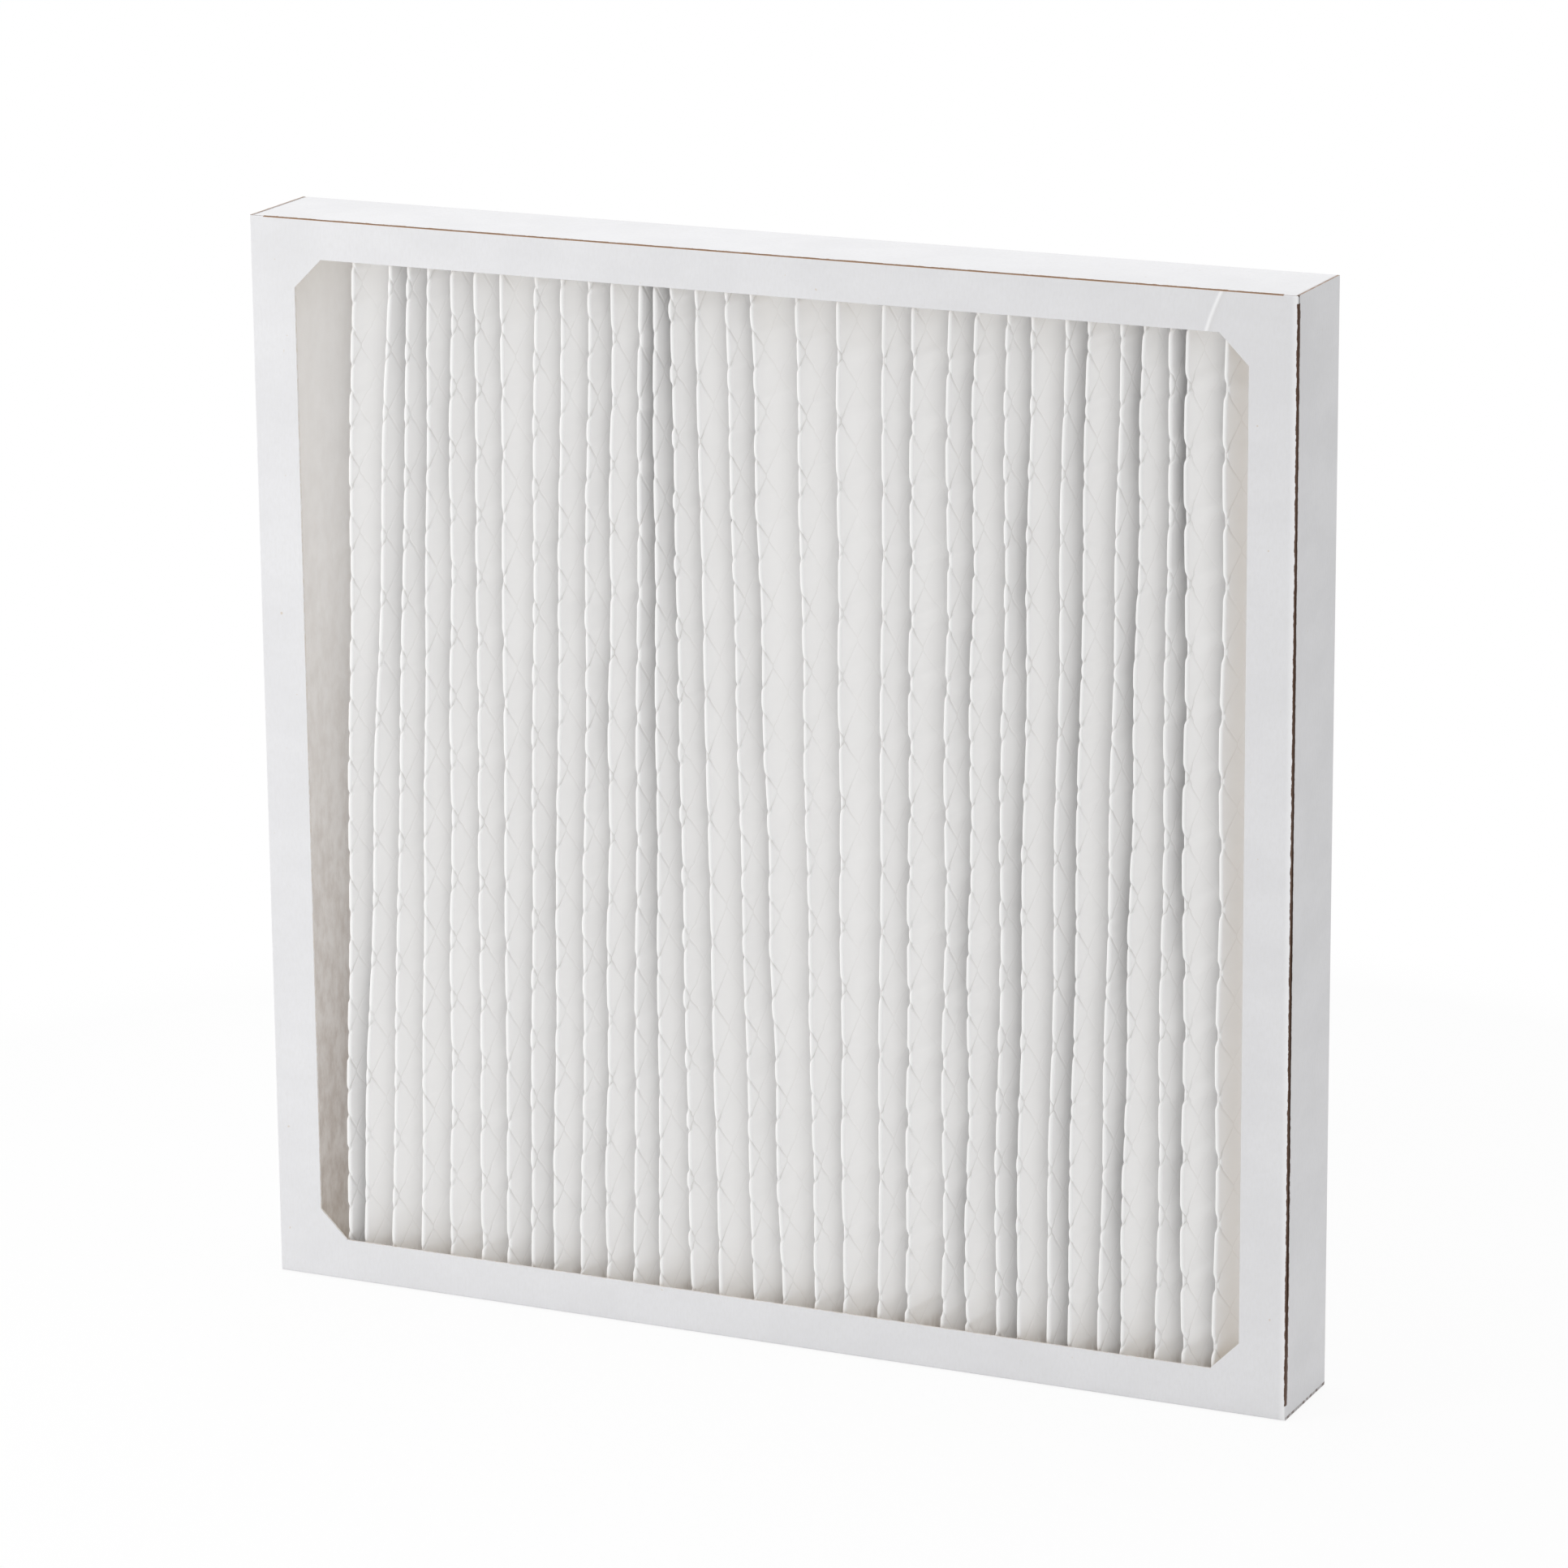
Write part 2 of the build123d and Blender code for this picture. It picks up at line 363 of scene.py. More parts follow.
WHITE_BOARD = rgb(233, 233, 235)
GREY_BOARD = rgb(229, 229, 231)
# random pulp tone, also used as painted shade beside the bent crease
PULP_TONE_AND_CREASE_SHADE = rgb(221, 220, 220)
# white of the painted highlights along the creases
HIGHLIGHT_WHITE = rgb(250, 250, 251)
RAW_EDGE = rgb(206, 186, 160)
WALL_END_BROWN = rgb(140, 108, 82)
SCORE_TAN = rgb(160, 124, 92)
# brown raw board in the scores, dark as painted shade of the grooves
SCORE_BROWN_AND_SHADE = rgb(78, 56, 42)
# dark brown of raw board, deepened as painted shade in the open right crease; also along the right wall's lower
# edge
DARK_EDGE_BROWN = rgb(88, 62, 46)
KRAFT = rgb(196, 180, 160)
MEDIA_WHITE = rgb(252, 251.5, 251)
MEDIA_SHADE = rgb(250, 249.5, 249)
FIBRE_SHADE = rgb(247, 246.5, 246)
# the grid's strands seen through the media, made darker as painted shade of the grooves along them
STRAND_AND_GROOVE_SHADE = rgb(204, 200, 196)
ZINC = rgb(168, 170, 172)
GLUE = rgb(232, 228, 216)
LINE_STRENGTH = 0.55
# strength of the painted brownish shade at the foot of the pleats and in the lower left corner
PAINTED_SHADE_STRENGTH = 0.5
DIAMOND_RELIEF, FIBRE_RELIEF = 0.3 * MM, 0.12 * MM
# directions of the media's fibres in degrees, and how finely they vary along and across each
FIBRE_TURNS = (12.0, 67.0, 135.0)
FIBRE_GRAIN = (22.0, 190.0, 1.0)
# colour of that painted shade
PAINTED_SHADE_BROWN = rgb(150, 126, 104)

# how near counts as on the surface, and how far in from the sides the window edges start
TOUCH = 0.02 * MM
INSIDE_WALLS = 5 * MM
# the scored creases: the plain ends, where the side one is widest, and how far back the score line lies
SCORE_END_LAND = 6.0 * MM
SIDE_SCORE_WIDEST = 62.0 * MM
SCORE_Y = cad_low[1] + 0.5 * MM
# bent crease in the top border: its low end, how it leans and bows to the right on its way up, half its width
CREASE_LOW = (185.7 * MM, 428.5 * MM)
CREASE_SLANT = 0.28
CREASE_BOW = 7.0
CREASE_WIDTH = 1.3 * MM

# heights between which the painted brownish shade at the foot of the pleats fades, and where the left flap's
# painted shade starts
SHADE_LOW, SHADE_HIGH = 8 * MM, 17 * MM
CORNER_SHADE_X = -199 * MM


def box_mask(n, axes, low, high):
    """1 inside a box given by its low and high corner, None for no limit, and 0 outside it."""
    inside = None
    for axis, least, most in zip(axes, low, high):
        for operation, bound in (("GREATER_THAN", least), ("LESS_THAN", most)):
            if bound is not None:
                side = n.math(operation, axis, bound)
                inside = side if inside is None else n.math("MULTIPLY", inside, side)
    return inside


def cut_edges(n, axes, normal):
    """Masks of the board's cut edges: windows, ends of the side walls, rear edges of the outer walls."""
    x, y, z = axes
    sideways = n.math("LESS_THAN", n.math("ABSOLUTE", normal[1]), 0.1)
    from_side = n.math("SUBTRACT", cad_high[0], n.math("ABSOLUTE", x))
    from_end = n.math("MINIMUM", z, n.math("SUBTRACT", cad_high[2], z))
    inner = n.math("GREATER_THAN", n.math("MINIMUM", from_side, from_end), INSIDE_WALLS)
    window = n.math("MULTIPLY", sideways, inner)
    upright = n.math("GREATER_THAN", n.math("ABSOLUTE", normal[2]), 0.9)
    wall_end = n.math("MULTIPLY", upright, n.math("LESS_THAN", from_side, BOARD))
    outermost = n.math("LESS_THAN", n.math("MINIMUM", from_side, from_end), BOARD)
    rear = n.math("MULTIPLY", outermost, n.math("GREATER_THAN", y, cad_high[1] - TOUCH))
    return window, wall_end, rear


def score_lip_and_gap_shade(n, place, axes):
    """Masks of the frayed paper beside the score along the top crease, and of the frayed, open gap along the
    right front crease, whose brown raw board is painted dark as its shade.
    """
    x, y, z = axes
    fray = n.noise(n.stretch(place, (260.0, 900.0, 260.0)), 1.0, 4.0, 0.65)
    top_reach = n.ramp(fray, 0.3, 0.7, cad_low[1] + 1.0 * MM, cad_low[1] + 1.9 * MM)
    top_end = cad_high[0] - SCORE_END_LAND
    top = box_mask(n, axes, (-top_end, None, cad_high[2] - 0.35 * MM), (top_end, None, None))
    top = n.math("MULTIPLY", top, n.math("LESS_THAN", y, top_reach))
    from_widest = n.math("ABSOLUTE", n.math("SUBTRACT", z, SIDE_SCORE_WIDEST))
    spread = n.ramp(from_widest, 25 * MM, 75 * MM, 1.3, 0.8)
    side_reach = n.math("MULTIPLY", n.ramp(fray, 0.3, 0.7, 0.6 * MM, 1.3 * MM), spread)
    side_reach = n.math("ADD", side_reach, cad_low[1] + 1.3 * MM)
    side = box_mask(n, axes, (None, None, SCORE_END_LAND), (None, None, cad_high[2] - SCORE_END_LAND / 2))
    front_reach = n.ramp(fray, 0.3, 0.7, cad_high[0] - 0.7 * MM, cad_high[0] - 0.3 * MM)
    side = n.math("MULTIPLY", side, n.math("GREATER_THAN", x, front_reach))
    return top, n.math("MULTIPLY", side, n.math("LESS_THAN", y, side_reach))


def board_crease(n, axes):
    """Ridge of the bent crease across the top border near the right corner, which also carries a painted
    highlight, and the painted shade on its right.
    """
    x, _, z = axes
    above = n.math("SUBTRACT", z, CREASE_LOW[1])
    slant = n.math("MULTIPLY", above, CREASE_SLANT)
    bow = n.math("MULTIPLY", n.math("MULTIPLY", above, above), CREASE_BOW)
    line = n.math("ADD", n.math("ADD", slant, bow), CREASE_LOW[0])
    away = n.math("DIVIDE", n.math("SUBTRACT", x, line), CREASE_WIDTH)
    ridge = n.ramp(n.math("ABSOLUTE", away), 0.0, 1.0, 1.0, 0.0)
    flat = box_mask(n, axes, (0.0, None, CREASE_LOW[1]), (None, cad_low[1] + TOUCH, None))
    beyond = n.math("MULTIPLY", n.math("GREATER_THAN", away, 0.2), flat)
    shade = n.math("MULTIPLY", n.ramp(away, 0.2, 2.6, 1.0, 0.0), beyond)
    return n.math("MULTIPLY", ridge, flat), shade


def board_material():
    """White clay-coated paperboard: smooth with faint mottle and flecks, tan where cut, brown where torn, with
    painted shade in the scores and painted highlights and shade at the creases.
    """
    n = Nodes("white_board")
    place = n.place()
    axes = n.split(place)
    x, y, _ = axes
    mottle = n.noise(n.stretch(place, (1.0, 1.0, 1.6)), 28.0, 4.0, 0.6)
    pulp = n.noise(n.stretch(place, (900.0, 900.0, 330.0)), 1.0, 4.0, 0.7)
    fleck = n.noise(place, 420.0, 1.0, 0.5)
    edge_noise = n.noise(place, 400.0, 3.0, 0.6)
    colour = n.mix(n.ramp(mottle, 0.35, 0.7), WHITE_BOARD, GREY_BOARD)
    colour = n.mix(n.ramp(pulp, 0.35, 0.75, 0.0, 0.35), colour, PULP_TONE_AND_CREASE_SHADE)
    colour = n.mix(n.ramp(fleck, 0.80, 0.84, 0.0, 0.5), colour, RAW_EDGE)

    normal = n.split(n.add("ShaderNodeNewGeometry").outputs["True Normal"])
    window, wall_end, rear = cut_edges(n, axes, normal)
    paper = n.mix(n.ramp(edge_noise, 0.3, 0.7), RAW_EDGE, WHITE_BOARD)
    colour = n.mix(n.math("MULTIPLY", window, 0.4), colour, paper)
    colour = n.mix(n.math("MULTIPLY", rear, 0.85), colour, paper)
    colour = n.mix(n.math("MULTIPLY", wall_end, n.ramp(edge_noise, 0.3, 0.7, 0.7, 1.0)), colour, WALL_END_BROWN)

    top_lip, side_gap_shade = score_lip_and_gap_shade(n, place, axes)
    # painted highlight on the front face along the opened crease
    near_crease = n.ramp(x, cad_high[0] - 3.2 * MM, cad_high[0] - 0.6 * MM, 0.0, 0.6)
    fold_highlight = n.math("MULTIPLY", near_crease, n.math("LESS_THAN", y, cad_low[1] + 0.2 * MM))
    colour = n.mix(fold_highlight, colour, HIGHLIGHT_WHITE)
    colour = n.mix(top_lip, colour, SCORE_TAN)
    # brown raw board in the open right crease, darkened as painted shade of the gap
    colour = n.mix(side_gap_shade, colour, DARK_EDGE_BROWN)
    # the score grooves: brown raw board, very dark as painted shade inside them
    top_score = box_mask(n, axes, (None, SCORE_Y - 0.3 * MM, cad_high[2] - 0.5 * MM),
                         (None, SCORE_Y + 0.7 * MM, cad_high[2] - TOUCH))
    side_score = box_mask(n, axes, (cad_high[0] - 0.75 * MM, SCORE_Y - 0.1 * MM, None),
                          (cad_high[0] - TOUCH, SCORE_Y + 1.9 * MM, None))
    colour = n.mix(n.math("MAXIMUM", top_score, side_score), colour, SCORE_BROWN_AND_SHADE)
    # darker brown along the lower edge of the right wall
    low_edge = box_mask(n, axes, (cad_high[0] - TOUCH, None, None), (None, None, 1.2 * MM))
    low_edge_brown = n.math("MULTIPLY", low_edge, n.ramp(edge_noise, 0.4, 0.6, 0.3, 0.9))
    colour = n.mix(low_edge_brown, colour, DARK_EDGE_BROWN)

    # the board's back, inside the trays, is unbleached
    skin = BOARD * 0.9
    inside = box_mask(n, axes, [c + skin for c in cad_low], [c - skin for c in cad_high])
    colour = n.mix(inside, colour, KRAFT)

    ridge, shade = board_crease(n, axes)
    # painted shade to the right of the bent crease
    colour = n.mix(n.math("MULTIPLY", shade, 0.5), colour, PULP_TONE_AND_CREASE_SHADE)
    # painted highlight on the crease's ridge
    colour = n.mix(ridge, colour, HIGHLIGHT_WHITE)
    n.put(n.shader.inputs["Base Color"], colour)
    n.put(n.shader.inputs["Roughness"], n.ramp(mottle, 0.3, 0.7, 0.48, 0.58))
    n.shader.inputs["Specular IOR Level"].default_value = 0.35
    wave = n.noise(n.stretch(place, (1.0, 1.0, 0.5)), 9.0, 2.0)
    bent = n.bump(ridge, 0.2 * MM, 0.6, n.bump(wave, 0.6 * MM, 0.35))
    n.put(n.shader.inputs["Normal"], n.bump(pulp, 0.03 * MM, 0.4, bent))
    return n.material


def strand_mask(n, sheet):
    """0 on the grid's strands, up to 1 in the middle of its diamonds, from the place on the unfolded sheet."""
    u, v, _ = n.split(sheet)
    turn = n.math("SUBTRACT", n.math("MULTIPLY", n.math("PINGPONG", v, 0.5), 4.0), 1.0)
    swing = n.math("MINIMUM", n.math("MAXIMUM", n.math("MULTIPLY", turn, STRAND_SWING), -1.0), 1.0)
    half_swing = n.math("MULTIPLY", swing, 0.5)
    twice = n.math("MULTIPLY", u, 2.0)
    even = n.math("SINE", n.math("MULTIPLY", n.math("SUBTRACT", twice, half_swing), math.pi / 2))
    shifted = n.math("ADD", n.math("SUBTRACT", twice, 1.0), half_swing)
    odd = n.math("SINE", n.math("MULTIPLY", shifted, math.pi / 2))
    return n.math("MINIMUM", n.math("ABSOLUTE", even), n.math("ABSOLUTE", odd))


def fibre_mat(n, sheet):
    """Height of a mat of short fibres laid in several directions on the sheet."""
    mat = None
    for turn in FIBRE_TURNS:
        mapping = n.add("ShaderNodeMapping")
        n.put(mapping.inputs["Vector"], sheet)
        n.put(mapping.inputs["Rotation"], (0.0, 0.0, math.radians(turn)))
        n.put(mapping.inputs["Scale"], FIBRE_GRAIN)
        layer = n.noise(mapping.outputs[0], 1.0, 1.0, 0.6)
        mat = layer if mat is None else n.math("MAXIMUM", mat, layer)
    return mat


def media_material():
    """Soft nonwoven: fine fibres, faint clouding, the grid's strands showing through with painted shade of
    their grooves, painted brownish shade towards the bottom border and the lower left corner.
    """
    n = Nodes("nonwoven_media")
    place = n.place()
    x, _, z = n.split(place)
    sheet = n.add("ShaderNodeUVMap", uv_map="sheet").outputs[0]
    show = n.add("ShaderNodeAttribute", attribute_name="show").outputs["Fac"]
    open_cell = strand_mask(n, sheet)
    patchy = n.noise(place, 45.0, 2.0, 0.5)
    line = n.ramp(open_cell, 0.02, 0.09, 1.0, 0.0)
    line = n.math("MULTIPLY", n.math("MULTIPLY", line, show), n.ramp(patchy, 0.3, 0.65, 0.35, 1.0))
    cloud = n.noise(place, 60.0, 3.0, 0.6)
    fibre = fibre_mat(n, sheet)
    colour = n.mix(n.ramp(cloud, 0.35, 0.7), MEDIA_WHITE, MEDIA_SHADE)
    colour = n.mix(n.ramp(fibre, 0.5, 0.75, 0.45, 0.0), colour, FIBRE_SHADE)
    # strand lines: strands seen through the media, with painted shade of their grooves
    colour = n.mix(n.math("MULTIPLY", line, LINE_STRENGTH), colour, STRAND_AND_GROOVE_SHADE)
    # blotchy painted brownish shade darkens the media towards the bottom border and in the lower left corner
    blotch = n.noise(n.stretch(place, (1.0, 1.0, 0.35)), 260.0, 4.0, 0.65)
    low = n.ramp(z, SHADE_LOW, SHADE_HIGH, 1.0, 0.0)
    corner = n.math("MULTIPLY", n.ramp(x, CORNER_SHADE_X, CORNER_SHADE_X + 10 * MM, 1.0, 0.0),
                    n.ramp(z, 20 * MM, 400 * MM, 0.8, 0.12))
    painted_shade = n.math("MULTIPLY", n.math("MAXIMUM", low, corner), n.ramp(blotch, 0.3, 0.75, 0.25, 1.0))
    colour = n.mix(n.math("MULTIPLY", painted_shade, PAINTED_SHADE_STRENGTH), colour, PAINTED_SHADE_BROWN)
    n.put(n.shader.inputs["Base Color"], colour)
    n.shader.inputs["Roughness"].default_value = 0.9
    n.shader.inputs["Specular IOR Level"].default_value = 0.2
    puffed = n.math("MULTIPLY", n.ramp(open_cell, 0.0, 0.22), show)
    relief = n.bump(puffed, DIAMOND_RELIEF)
    haze = n.bump(fibre, FIBRE_RELIEF, 0.5, relief)
    n.put(n.shader.inputs["Normal"], haze)
    return n.material


def grid_material():
    """Thin galvanised expanded metal, dull, with a fine spangle."""
    n = Nodes("galvanised_grid")
    place = n.place()
    spangle = n.noise(place, 700.0, 3.0, 0.7)
    n.put(n.shader.inputs["Base Color"], n.mix(n.ramp(spangle, 0.3, 0.7), ZINC, rgb(190, 192, 193)))
    n.shader.inputs["Metallic"].default_value = 0.9
    n.put(n.shader.inputs["Roughness"], n.ramp(spangle, 0.3, 0.7, 0.32, 0.5))
    n.put(n.shader.inputs["Normal"], n.bump(spangle, 0.02 * MM, 0.4))
    return n.material


def glue_material():
    """Off-white hot melt with a low, uneven gloss."""
    n = Nodes("edge_glue")
    place = n.place()
    lump = n.noise(place, 220.0, 3.0, 0.6)
    n.put(n.shader.inputs["Base Color"], n.mix(n.ramp(lump, 0.3, 0.7), GLUE, rgb(222, 216, 200)))
    n.put(n.shader.inputs["Roughness"], n.ramp(lump, 0.3, 0.7, 0.35, 0.55))
    n.put(n.shader.inputs["Normal"], n.bump(lump, 0.2 * MM, 0.6))
    return n.material


def dress(piece, material):
    piece.data.materials.clear()
    piece.data.materials.append(material)


def dress_node(name, material):
    for slot_index in range(len(nodes[name].material_slots)):
        nodes[name].material_slots[slot_index].material = material


# ---------------------------------------------------------------- media

MEDIA_PIECES = 4
# rows of points up the front and the back skin
FRONT_ROWS, BACK_ROWS = 280, 70
# how far the grid's strands press into the front skin at a pleat tip
PUFF = 0.15 * MM
# the grid shows fully at the tips, fades along the flank over this distance and down to this share
SHOW_FADE = 5.5 * MM
SHOW_DEEP = 0.12


def towards_tip(steps):
    """Shares along a flank, closer together near the pleat tip that it leaves."""
    return (np.arange(steps) / steps) ** 1.6


FRONT_SHARES = {
    FOLD: np.arange(8) / 8,
    GOING_IN: towards_tip(14),
    REAR: np.arange(4) / 4,
    COMING_OUT: 1 - towards_tip(8)[::-1] - towards_tip(8)[1] / 2,
    LEFT_FLAP: np.arange(2) / 2,
    RIGHT_FLAP: np.arange(3) / 2,
}
BACK_SHARES = {
    FOLD: np.arange(4) / 4,
    GOING_IN: np.arange(4) / 4,
    REAR: np.arange(4) / 4,
    COMING_OUT: np.arange(4) / 4,
    LEFT_FLAP: np.arange(2) / 2,
    RIGHT_FLAP: np.arange(3) / 2,
}


def stations(first, last, shares):
    """Stations along the folded sheet from one front fold to another: tip, stretch and share along it."""
    found = []
    if first == 0:
        found += [(0, LEFT_FLAP, along) for along in shares[LEFT_FLAP]]
    for tip in range(first, last):
        for stretch in (FOLD, GOING_IN, REAR, COMING_OUT):
            found += [(tip, stretch, along) for along in shares[stretch]]
    if last == TIPS - 1:
        found += [(last, FOLD, along) for along in shares[FOLD]]
        found += [(last, RIGHT_FLAP, along) for along in shares[RIGHT_FLAP]]
    else:
        found.append((last, FOLD, 0.0))
    tip, stretch, along = (np.array(column)[None, :] for column in zip(*found))
    return tip, stretch, along


def grid_shows(tip, stretch, along):
    """How far the grid shows through the media: most at the pleat tips, not at all on the glued end flank."""
    near_front = [stretch == FOLD, stretch == GOING_IN, stretch == COMING_OUT]
    from_tip = np.select(near_front, [0.0, along, 1 - along], 1.0)
    shown = SHOW_DEEP + (1 - SHOW_DEEP) * np.exp(-from_tip * FLANK_LENGTH / SHOW_FADE)
    return np.where((tip == 0) | (stretch >= LEFT_FLAP), 0.0, shown)


def media_skin(course, heights, depth, puff):
    """One skin of the media: its points, their places on the unfolded sheet and how far the grid shows."""
    tip, stretch, along = course
    height = heights[:, None]
    x, y, across_x, across_y = sheet_point(tip, stretch, along, height, depth)
    run = run_along(tip, stretch, along)
    show = np.broadcast_to(grid_shows(tip, stretch, along), x.shape)
    even, odd = strand_waves(run, height)
    open_cell = np.minimum(np.abs(even), np.abs(odd))
    pressed = puff * show * np.exp(-((open_cell / 0.3) ** 2))
    level = np.broadcast_to(height, x.shape)
    points = np.stack([x - across_x * pressed, y - across_y * pressed, level], axis=-1)
    sheet = np.stack(np.broadcast_arrays(run / DIAMOND_RUN, height / DIAMOND_RISE), axis=-1)
    return points.reshape(-1, 3), sheet.reshape(-1, 2), show.ravel()


def sheet_faces(index, flip=False):
    """Quads between the rows and columns of a grid of point numbers."""
    quads = np.stack([index[:-1, :-1], index[:-1, 1:], index[1:, 1:], index[1:, :-1]], axis=-1).reshape(-1, 4)
    return (quads[:, ::-1] if flip else quads).tolist()


def closing_strip(front, back):
    """Faces that close the sheet between an edge of its front skin and the same edge of its back skin."""
    ratio = (len(back) - 1) / (len(front) - 1)
    faces = []
    for step in range(len(front) - 1):
        near, far = round(step * ratio), round((step + 1) * ratio)
        face = [front[step], front[step + 1], back[far]]
        faces.append(face if near == far else face + [back[near]])
    return faces


def build_media(name, first, last):
    """The nonwoven between two front folds, as a closed sheet."""
    rows = FRONT_ROWS
    back_rows = BACK_ROWS
    front_course = stations(first, last, FRONT_SHARES)
    back_course = stations(first, last, BACK_SHARES)
    front_heights = np.linspace(PACK_BOTTOM, PACK_TOP, rows)
    back_heights = np.linspace(PACK_BOTTOM, PACK_TOP, back_rows)
    front, front_sheet, front_show = media_skin(front_course, front_heights, 0.0, PUFF)
    back, back_sheet, back_show = media_skin(back_course, back_heights, SKIN, 0.0)
    front_index = np.arange(len(front)).reshape(rows, -1)
    back_index = np.arange(len(back)).reshape(back_rows, -1) + len(front)
    faces = sheet_faces(front_index) + sheet_faces(back_index, True)
    faces += closing_strip(front_index[:, 0].tolist(), back_index[:, 0].tolist())
    faces += closing_strip(front_index[::-1, -1].tolist(), back_index[::-1, -1].tolist())
    return build_mesh(
        name,
        np.concatenate([front, back]).tolist(),
        faces,
        np.concatenate([front_sheet, back_sheet]),
        np.concatenate([front_show, back_show]),
    )


def add_media():
    media = media_material()
    borders = [round(part * (TIPS - 1) / MEDIA_PIECES) for part in range(MEDIA_PIECES + 1)]
    for number, (first, last) in enumerate(zip(borders, borders[1:]), start=1):
        piece = build_media(f"pleated_media_{number}", first, last)
        dress(piece, media)
        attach(piece, "root")
        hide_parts("pleated_media")


# ---------------------------------------------------------------- expanded-metal grid

GRID_PIECES = 2
SAMPLES_PER_DIAMOND = 24
KEPT_EVERY = 4
GRID_EDGE = 1.0 * MM


def place_on_sheet(run):
    """Front fold, stretch and share along it for distances along the unfolded sheet."""
    tip = np.clip(np.searchsorted(TIP_RUN - FOLD_LENGTH / 2, run, side="right") - 1, 0, TIPS - 2)
    room = TIP_RUN[tip + 1] - TIP_RUN[tip]
    ahead = np.clip((run - TIP_RUN[tip] + FOLD_LENGTH / 2) * PLEAT_RUN / room, 0, PLEAT_RUN)
    stretch = np.clip(np.searchsorted(STRETCH_STARTS[:4], ahead, side="right") - 1, 0, COMING_OUT)
    return tip, stretch, (ahead - STRETCH_STARTS[stretch]) / STRETCH_LENGTHS[stretch]


def strand_points(number):
    """Points of one strand as an array of places by corners: a flat strip, lifted off the media's back."""
    heights = np.arange(PACK_BOTTOM + GRID_EDGE, PACK_TOP - GRID_EDGE, DIAMOND_RISE / SAMPLES_PER_DIAMOND)
    swing = strand_swing(heights) * (0.5 - STRAND_WIDTH / DIAMOND_RUN)
    run = (number + np.where(number % 2, -swing, swing)) * DIAMOND_RUN / 2
    if run.min() < TIP_RUN[0] or run.max() > TIP_RUN[-1]:
        return None
    stretch = place_on_sheet(run)[1]
    turning = np.zeros(len(run), dtype=bool)
    turning[1:] |= stretch[1:] != stretch[:-1]
    turning[:-1] |= stretch[1:] != stretch[:-1]
    turning |= (stretch == FOLD) | (stretch == REAR)
    kept = turning | (np.arange(len(run)) % KEPT_EVERY == 0)
    kept[-1] = True
    run, heights = run[kept], heights[kept]
    near, far = SKIN + STRAND_GAP, SKIN + STRAND_GAP + STRAND_THICKNESS
    corners = []
    for side, depth in ((-1, near), (-1, far), (1, far), (1, near)):
        x, y, _, _ = sheet_point(*place_on_sheet(run + side * STRAND_WIDTH / 2), heights, depth)
        corners.append(np.stack([x, y, heights], axis=-1))
    return np.stack(corners, axis=1)


def add_grid():
    metal = grid_material()
    last = int(TIP_RUN[-1] / (DIAMOND_RUN / 2))
    strands = [strand_points(number) for number in range(last + 1)]
    strands = [strand for strand in strands if strand is not None]
    share = math.ceil(len(strands) / GRID_PIECES)
    for number in range(GRID_PIECES):
        points, faces, start = [], [], 0
        for strand in strands[number * share:(number + 1) * share]:
            index = np.arange(strand.shape[0] * 4).reshape(-1, 4) + start
            faces += sheet_faces(index)
            points.append(strand.reshape(-1, 3))
            start += strand.shape[0] * 4
        piece = build_mesh(f"support_grid_{number + 1}", np.concatenate(points).tolist(), faces, smooth=False)
        dress(piece, metal)
        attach(piece, "root")
        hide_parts("support_grid")


add_media()
add_grid()


# ---------------------------------------------------------------- CAD nodes that keep their shape

board = board_material()
dress_node("front_frame", board)
dress_node("rear_frame", board)
dress_node("edge_adhesive", glue_material())


# ---------------------------------------------------------------- stage, light and camera

FLOOR_WHITENING = 0.9
# the floor's shadow fades to white between these distances from the filter
FLOOR_FADE_START, FLOOR_FADE_END = 0.25, 0.6
WORLD_LIGHT = 0.66
# light is traced through this many bounces; after them, a ray that meets nothing within OPEN_AIR takes the
# world's light times OPEN_AIR_LIGHT
DIFFUSE_BOUNCES = 3
OPEN_AIR = 7.5 * MM
OPEN_AIR_LIGHT = 1.35


def floor_material():
    """White floor that keeps the soft shadow near the filter and goes to plain white away from it."""
    n = Nodes("floor_white")
    place = n.place()
    flat = n.add("ShaderNodeVectorMath", operation="MULTIPLY")
    n.put(flat.inputs[0], place)
    flat.inputs[1].default_value = (1.0, 1.0, 0.0)
    length = n.add("ShaderNodeVectorMath", operation="LENGTH")
    n.put(length.inputs[0], flat.outputs[0])
    away = n.ramp(length.outputs["Value"], FLOOR_FADE_START, FLOOR_FADE_END)
    n.shader.inputs["Base Color"].default_value = (0.9, 0.9, 0.9, 1.0)
    n.shader.inputs["Roughness"].default_value = 0.8
    n.shader.inputs["Specular IOR Level"].default_value = 0.0
    path = n.add("ShaderNodeLightPath")
    seen = n.math("MAXIMUM", path.outputs["Is Camera Ray"], path.outputs["Is Glossy Ray"])
    seen = n.math("MAXIMUM", seen, path.outputs["Is Transmission Ray"])
    white = n.add("ShaderNodeEmission")
    white.inputs["Color"].default_value = (1.0, 1.0, 1.0, 1.0)
    white.inputs["Strength"].default_value = 1.0
    mixed = n.add("ShaderNodeMixShader")
    n.put(mixed.inputs[0], n.math("MULTIPLY", n.math("MAXIMUM", away, FLOOR_WHITENING), seen))
    n.put(mixed.inputs[1], n.shader.outputs[0])
    n.put(mixed.inputs[2], white.outputs[0])
    n.put(n.output.inputs["Surface"], mixed.outputs[0])
    return n.material


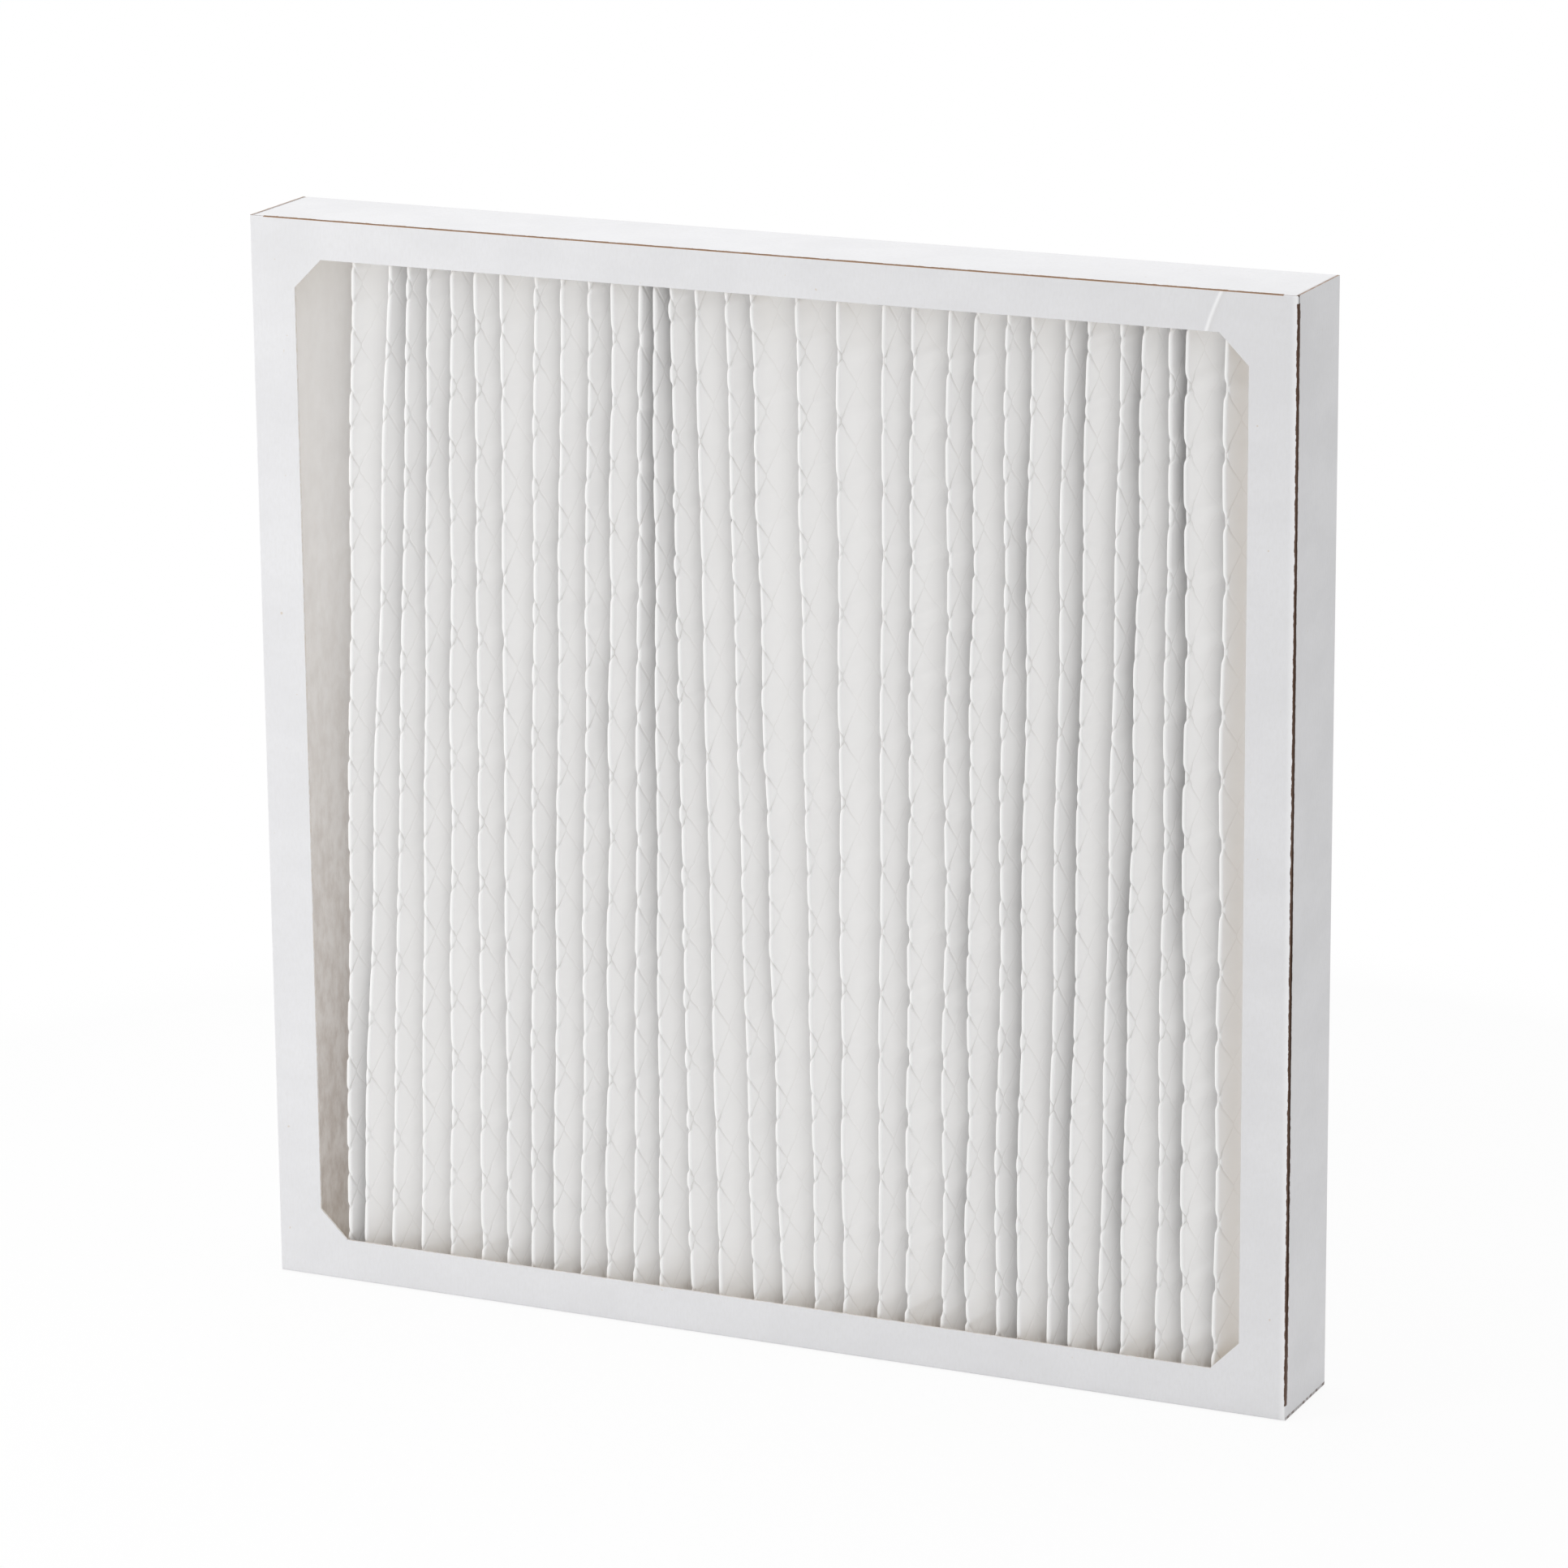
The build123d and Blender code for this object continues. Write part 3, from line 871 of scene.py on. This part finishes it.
FLOOR_HALF = 8.0
FLOOR_GAP = 0.5 * MM
floor = build_mesh(
    "floor",
    [(x * FLOOR_HALF, y * FLOOR_HALF, 0) for x, y in ((-1, -1), (1, -1), (1, 1), (-1, 1))],
    [(0, 1, 2, 3)],
    smooth=False,
)
floor.location.z = cad_low[2] - FLOOR_GAP
floor.data.materials.append(floor_material())


def build_world():
    world = bpy.data.worlds.new("studio")
    bpy.context.scene.world = world
    world.use_nodes = True
    tree = world.node_tree
    background = tree.nodes["Background"]
    background.inputs["Color"].default_value = (1.0, 1.0, 1.0, 1.0)
    path = tree.nodes.new("ShaderNodeLightPath")
    seen = tree.nodes.new("ShaderNodeMath")
    seen.operation = "MAXIMUM"
    tree.links.new(path.outputs["Is Camera Ray"], seen.inputs[0])
    tree.links.new(path.outputs["Is Glossy Ray"], seen.inputs[1])
    more = tree.nodes.new("ShaderNodeMath")
    more.operation = "MAXIMUM"
    tree.links.new(seen.outputs[0], more.inputs[0])
    tree.links.new(path.outputs["Is Transmission Ray"], more.inputs[1])
    strength = tree.nodes.new("ShaderNodeMapRange")
    strength.inputs["To Min"].default_value = WORLD_LIGHT
    strength.inputs["To Max"].default_value = 1.0
    tree.links.new(more.outputs[0], strength.inputs["Value"])
    tree.links.new(strength.outputs[0], background.inputs["Strength"])


def add_lamp(name, place, aim, size, power):
    data = bpy.data.lights.new(name, "AREA")
    data.shape = "SQUARE"
    data.size = size
    data.energy = power
    lamp = bpy.data.objects.new(name, data)
    lamp.location = place
    lamp.rotation_euler = (Vector(aim) - Vector(place)).to_track_quat("-Z", "Y").to_euler()
    bpy.context.scene.collection.objects.link(lamp)
    return lamp


build_world()
CENTRE = (0.0, 0.0, cad_high[2] / 2)
KEY_PLACE, KEY_AIM, KEY_SIZE, KEY_POWER = (-0.85, -0.95, 0.6), (-0.08, 0.0, 0.25), 0.6, 4.4
TOP_PLACE, TOP_SIZE, TOP_POWER = (-0.1, 0.1, 1.9), 1.2, 10.0
add_lamp("key", KEY_PLACE, KEY_AIM, KEY_SIZE, KEY_POWER)
add_lamp("top", TOP_PLACE, CENTRE, TOP_SIZE, TOP_POWER)

AZIMUTH = math.radians(24.85)
ELEVATION = math.radians(15.32)
ROLL = math.radians(-0.51)
DISTANCE = 2.605
AIM = Vector((-0.0002, 0.0, 0.2275))
LENS = 150.9
SENSOR_WIDTH = 36.0


def set_bounces():
    """The white folds pass light on dozens of times: a few bounces are traced and the rest is estimated."""
    cycles = bpy.context.scene.cycles
    cycles.diffuse_bounces = DIFFUSE_BOUNCES + 1
    cycles.max_bounces = DIFFUSE_BOUNCES + 1
    cycles.use_fast_gi = True
    cycles.fast_gi_method = "REPLACE"
    cycles.ao_bounces_render = DIFFUSE_BOUNCES
    bpy.context.scene.world.light_settings.distance = OPEN_AIR
    bpy.context.scene.world.light_settings.ao_factor = OPEN_AIR_LIGHT


def add_camera():
    data = bpy.data.cameras.new("camera")
    data.lens = LENS
    data.sensor_width = SENSOR_WIDTH
    camera = bpy.data.objects.new("camera", data)
    back = Vector((
        math.sin(AZIMUTH) * math.cos(ELEVATION),
        -math.cos(AZIMUTH) * math.cos(ELEVATION),
        math.sin(ELEVATION),
    ))
    turn = (-back).to_track_quat("-Z", "Y").to_matrix() @ Matrix.Rotation(ROLL, 3, "Z")
    camera.matrix_world = Matrix.LocRotScale(AIM + back * DISTANCE, turn, None)
    bpy.context.scene.collection.objects.link(camera)
    bpy.context.scene.camera = camera


add_camera()
set_bounces()
bpy.context.scene.view_settings.view_transform = "Standard"
